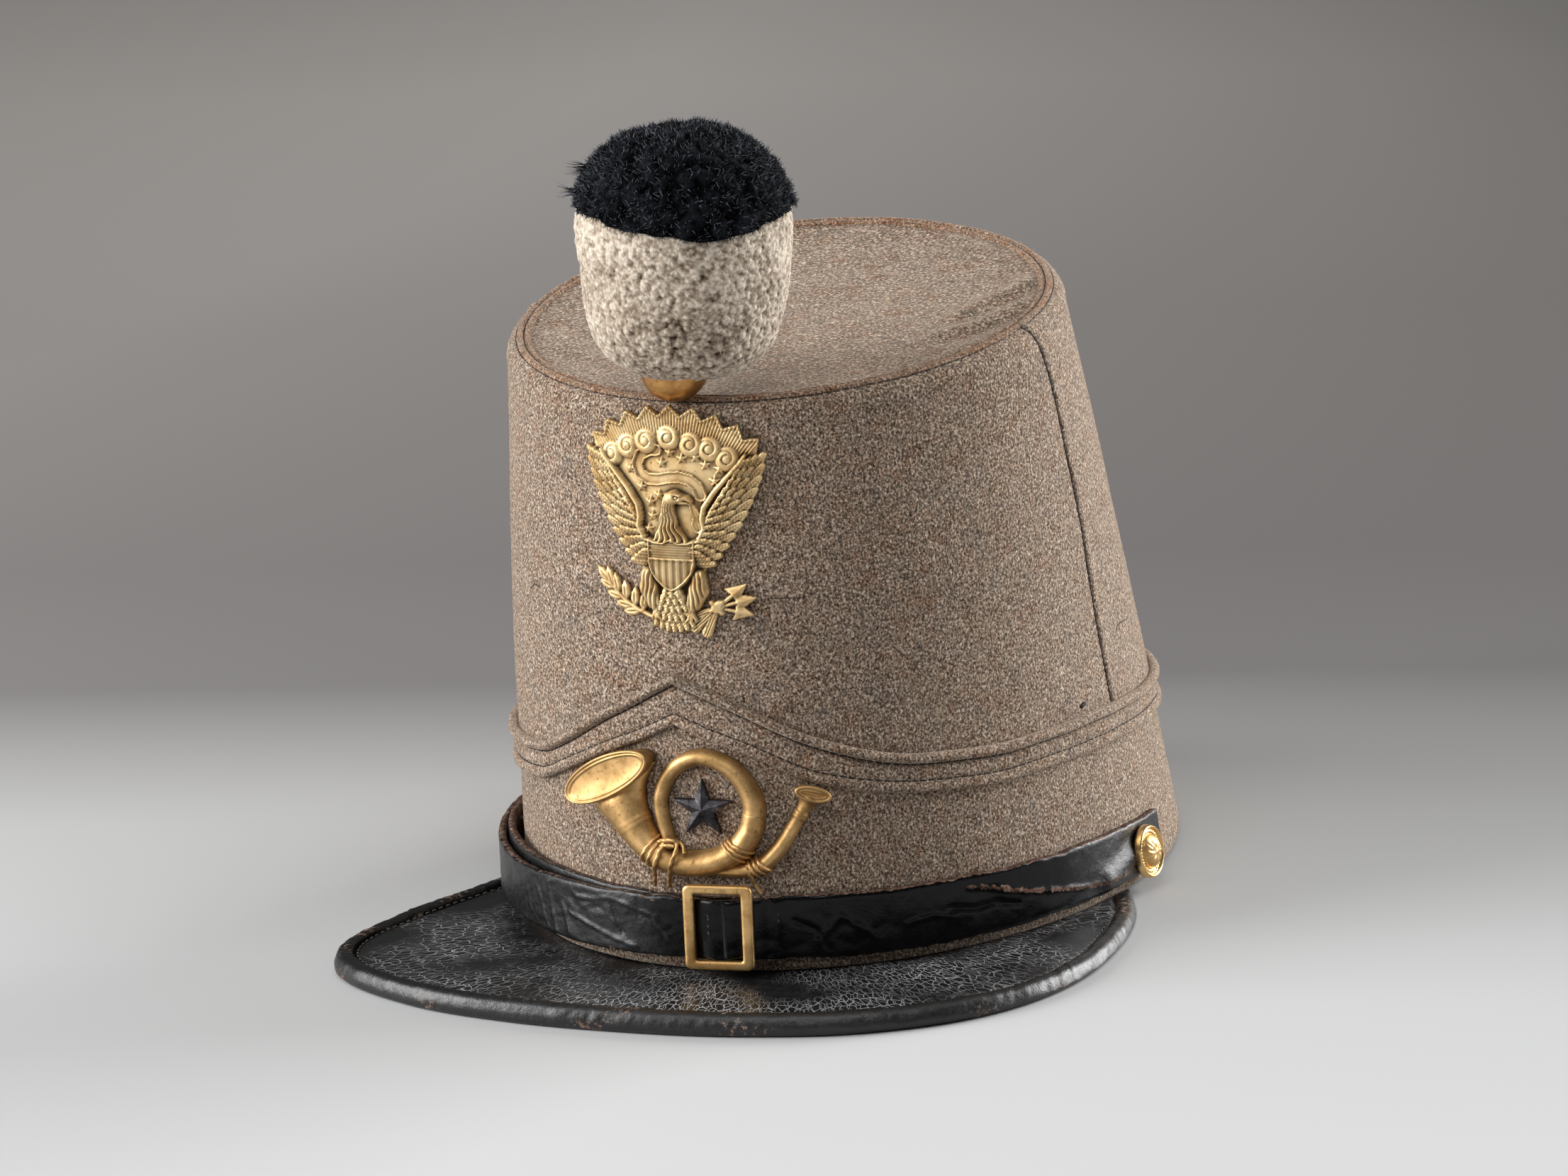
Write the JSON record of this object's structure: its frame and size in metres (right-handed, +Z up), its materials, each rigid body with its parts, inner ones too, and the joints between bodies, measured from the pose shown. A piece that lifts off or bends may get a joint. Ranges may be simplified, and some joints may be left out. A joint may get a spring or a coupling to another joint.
{
  "type": "shako",
  "caption": "Tapered wool military cap with a sunken slanting top, flat bound leather visor, buckled chin strap, struck brass badges and a two-coloured wool pompom.",
  "frame": {"origin": "under the middle of the hat's box, on the surface that it rests on", "axes": "the hat faces -Y, +X is the wearer's left, +Z is up"},
  "size_m": [0.1886, 0.2442, 0.2146],
  "materials": {
    "wool_cloth": "matt fulled wool, heather grey-brown",
    "wool_piping": "matt wool, worn to rust-brown fibres on its folds",
    "visor_leather": "black finished leather, crazed and scuffed",
    "strap_leather": "black patent leather, wrinkled, red-brown cut edges",
    "worn_brass": "struck brass, dull and tarnished in its hollows",
    "gilt_brass": "bright gilt brass",
    "white_metal": "cast white metal, tarnished dark grey",
    "grey_wool": "clipped curly wool, off-white grey",
    "black_wool": "clipped wool pile, blue-black"
  },
  "bodies": {
    "root": {"crown_side": "wool_cloth", "crown_top": "wool_cloth", "top_welt": "wool_piping", "side_seam_left": "wool_cloth", "side_seam_right": "wool_cloth", "band": "wool_piping", "visor": "visor_leather", "visor_binding": "visor_leather", "strap_front": "strap_leather", "strap_under": "strap_leather", "buckle": "worn_brass", "button_left": "gilt_brass", "button_right": "gilt_brass", "eagle_plate": "worn_brass", "horn_badge": "worn_brass", "badge_star": "white_metal", "pompom_cup": "gilt_brass", "pompom_body": "grey_wool", "pompom_cap": "black_wool"}
  },
  "joints": []
}
